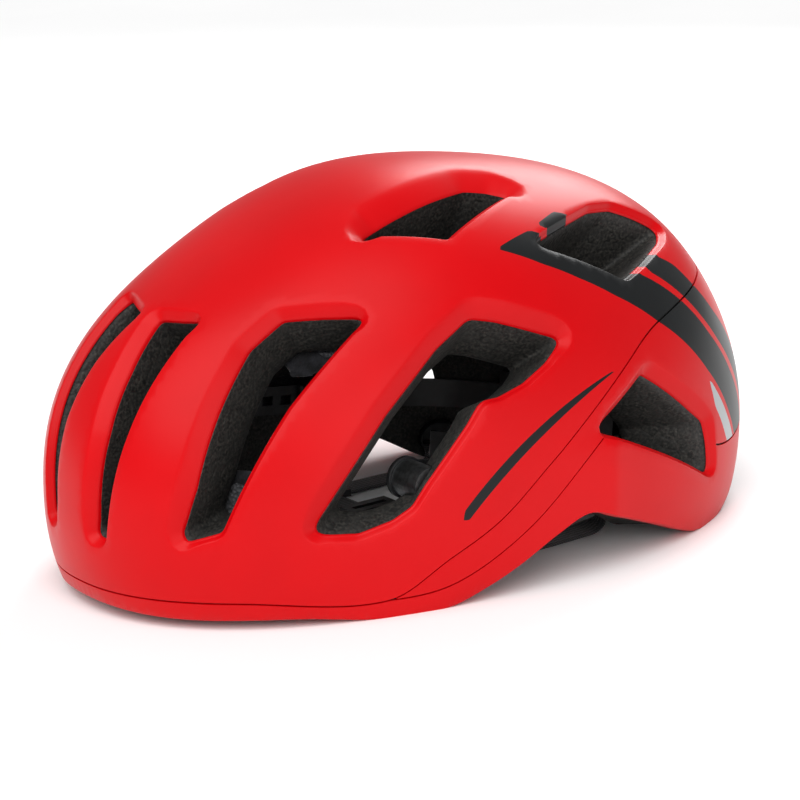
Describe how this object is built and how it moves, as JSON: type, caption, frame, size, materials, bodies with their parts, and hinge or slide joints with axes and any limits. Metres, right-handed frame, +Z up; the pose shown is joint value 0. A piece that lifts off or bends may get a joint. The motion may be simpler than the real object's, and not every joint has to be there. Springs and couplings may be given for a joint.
{
  "type": "cycling helmet",
  "caption": "Vented road cycling helmet with moulded skins on a foam liner, pads, a dial-adjusted rear cradle and a webbing harness with a buckle.",
  "frame": {"origin": "centre of the helmet's box in plan, on the table it stands on", "axes": "+Z up, the front faces -Y, the wearer's left is +X"},
  "size_m": [0.2002, 0.3025, 0.1514],
  "materials": {
    "red_skin": "satin red polycarbonate",
    "foam": "moulded black bead foam",
    "pad": "brushed knit over soft foam",
    "hook": "hook fastener",
    "black_plastic": "moulded nylon",
    "belt_plastic": "flexible nylon",
    "knob": "soft grip",
    "gear_plastic": "acetal",
    "steel": "plated",
    "webbing": "woven polyester",
    "keeper": "moulded"
  },
  "bodies": {
    "shell": {"upper_shell": "red_skin", "rear_shell": "red_skin", "lower_shell": "red_skin", "foam_liner": "foam", "brow_pad": "pad", "crown_pad_middle": "pad", "crown_pad_left": "pad", "crown_pad_right": "pad", "temple_pad_left": "pad", "temple_pad_right": "pad", "hook_dots": "hook", "strap_anchor_front_left": "black_plastic", "strap_anchor_front_right": "black_plastic", "strap_anchor_rear_left": "black_plastic", "strap_anchor_rear_right": "black_plastic", "temple_pin_left": "steel", "temple_pin_right": "steel", "height_guide": "black_plastic", "webbing_front_left": "webbing", "webbing_front_right": "webbing", "webbing_rear_left": "webbing", "webbing_rear_right": "webbing", "divider_left": "black_plastic", "divider_right": "black_plastic", "chin_webbing_left": "webbing", "chin_webbing_right": "webbing", "buckle_socket": "black_plastic", "strap_keeper": "keeper"},
    "fit_frame": {"fit_arm_left": "black_plastic", "fit_arm_right": "black_plastic", "height_slider": "black_plastic", "height_pin": "steel"},
    "cradle": {"fit_belt_left": "belt_plastic", "fit_belt_right": "belt_plastic", "cradle_frame": "black_plastic", "cradle_pad_left": "pad", "cradle_pad_right": "pad", "dial_housing": "black_plastic", "dial_cover": "black_plastic", "cover_screws": "steel"},
    "dial": {"dial_knob": "knob", "dial_pinion": "gear_plastic", "dial_screw": "steel"},
    "rack_left": {"rack_left": "belt_plastic"},
    "rack_right": {"rack_right": "belt_plastic"},
    "height_strap": {"height_strap": "belt_plastic"},
    "lever_left": {"divider_lever_left": "black_plastic"},
    "lever_right": {"divider_lever_right": "black_plastic"},
    "prongs": {"buckle_prongs": "black_plastic"}
  },
  "joints": [
    {"name": "fit_height", "type": "hinge", "parent": "shell", "child": "fit_frame", "pos_m": [0, -0.0465, 0.046], "axis": [1, 0, 0], "range_deg": [-3, 0]},
    {"name": "cradle_slide", "type": "slide", "parent": "fit_frame", "child": "cradle", "axis": [0, -0.9925, 0.1219], "range_m": [0, 0.016]},
    {"name": "dial_turn", "type": "hinge", "parent": "cradle", "child": "dial", "pos_m": [0, 0.08253, 0.03016], "axis": [0, -0.9925, 0.1219], "range_deg": [0, 153]},
    {"name": "rack_left_slide", "type": "slide", "parent": "cradle", "child": "rack_left", "axis": [-1, 0, 0], "range_m": [0, 0.016]},
    {"name": "rack_right_slide", "type": "slide", "parent": "cradle", "child": "rack_right", "axis": [1, 0, 0], "range_m": [0, 0.016]},
    {"name": "strap_lean", "type": "hinge", "parent": "fit_frame", "child": "height_strap", "pos_m": [0, 0.07991, 0.07635], "axis": [-1, 0, 0], "range_deg": [0, 19.6]},
    {"name": "lever_left_flip", "type": "hinge", "parent": "shell", "child": "lever_left", "pos_m": [0.061, -0.0045, 0.005], "axis": [0, 1, 0], "range_deg": [0, 80]},
    {"name": "lever_right_flip", "type": "hinge", "parent": "shell", "child": "lever_right", "pos_m": [-0.061, -0.0045, 0.005], "axis": [0, -1, 0], "range_deg": [0, 80]},
    {"name": "buckle_release", "type": "slide", "parent": "shell", "child": "prongs", "axis": [-1, 0, 0], "range_m": [0, 0.023]}
  ],
  "couplings": [
    {"joint": "dial_turn", "follows": "cradle_slide", "rad_per_m": 166.67},
    {"joint": "rack_left_slide", "follows": "cradle_slide", "ratio": 1},
    {"joint": "rack_right_slide", "follows": "cradle_slide", "ratio": 1},
    {"joint": "strap_lean", "follows": "cradle_slide", "rad_per_m": 21.271}
  ]
}
